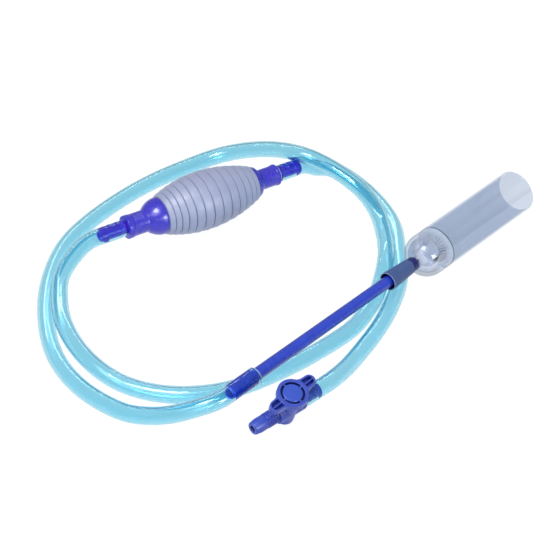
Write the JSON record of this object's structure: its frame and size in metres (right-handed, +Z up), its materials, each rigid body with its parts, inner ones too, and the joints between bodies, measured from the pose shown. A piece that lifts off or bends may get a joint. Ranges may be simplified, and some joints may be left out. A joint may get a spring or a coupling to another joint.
{
  "type": "gravel vacuum siphon",
  "caption": "Coiled siphon hose with a ribbed priming bulb, a quarter-turn shut-off valve and a rigid wand that ends in a clear domed gravel tube.",
  "frame": {"origin": "centre of the coil's footprint, on the surface it rests on", "axes": "+Z up from the resting surface, +X along the longest side of the footprint, towards the gravel tube's mouth"},
  "size_m": [0.4678, 0.4218, 0.0577],
  "materials": {
    "smoky_tube": "clear rigid plastic with a smoky grey-blue tint, smooth",
    "clear_dome": "clear rigid plastic, smooth and glossy",
    "clear_strainer": "clear rigid plastic, smooth",
    "navy_plastic": "smooth, slightly translucent dark blue",
    "slate_sleeve": "soft satin slate blue",
    "blue_pipe": "translucent royal blue, glossy",
    "hose_pvc": "flexible clear PVC with a cyan tint, glossy",
    "bulb_skin": "satin lavender-grey soft PVC with stepped ribs",
    "violet_plastic": "moulded violet-blue plastic, satin gloss",
    "black_rubber": "matte black",
    "white_plastic": "plain moulded white",
    "valve_blue": "moulded mid blue, satin gloss",
    "valve_blue_dark": "moulded blue, satin gloss",
    "handle_blue": "moulded mid blue, satin gloss",
    "cap_blue": "moulded mid blue, smooth gloss",
    "seat_ptfe": "smooth white low-friction plastic",
    "screw_steel": "plain bright steel"
  },
  "bodies": {
    "hose_line": {"wand_hose": "hose_pvc", "outlet_hose": "hose_pvc", "extension_pipe": "blue_pipe", "bulb_shell": "bulb_skin", "inlet_fitting": "violet_plastic", "outlet_fitting": "violet_plastic", "inlet_gasket": "black_rubber", "outlet_gasket": "black_rubber", "inlet_valve_seat": "black_rubber", "inlet_poppet_guide": "white_plastic", "outlet_valve_seat": "black_rubber", "outlet_poppet_guide": "white_plastic", "valve_body": "valve_blue", "valve_end_piece": "valve_blue", "ball_seats": "seat_ptfe", "stem_bonnet": "valve_blue_dark"},
    "head": {"neck_sleeve": "slate_sleeve", "neck_nipple": "navy_plastic", "tube_dome": "clear_dome", "strainer": "clear_strainer"},
    "tube": {"gravel_tube": "smoky_tube"},
    "handle": {"valve_handle": "handle_blue", "valve_stem": "valve_blue", "stem_seal": "black_rubber", "valve_ball": "white_plastic", "handle_screw": "screw_steel", "handle_cap": "cap_blue"},
    "inlet_flap": {"inlet_poppet": "white_plastic"},
    "outlet_flap": {"outlet_poppet": "white_plastic"}
  },
  "joints": [
    {"name": "head_swivel", "type": "hinge", "parent": "hose_line", "child": "head", "pos_m": [-0.03254, -0.15231, 0.029], "axis": [0.6612, 0.7499, -0.0209], "continuous": true},
    {"name": "tube_pull", "type": "slide", "parent": "head", "child": "tube", "axis": [0.6612, 0.7499, -0.0209], "range_m": [0, 0.012]},
    {"name": "valve_turn", "type": "hinge", "parent": "hose_line", "child": "handle", "pos_m": [-0.00504, -0.18111, 0.0167], "axis": [0.2051, -0.2858, 0.9361], "range_deg": [-6, 84]},
    {"name": "inlet_lift", "type": "slide", "parent": "hose_line", "child": "inlet_flap", "axis": [0.8334, 0.5516, -0.0332], "range_m": [0, 0.0025]},
    {"name": "outlet_lift", "type": "slide", "parent": "hose_line", "child": "outlet_flap", "axis": [0.8334, 0.5516, -0.0332], "range_m": [0, 0.0025]}
  ]
}
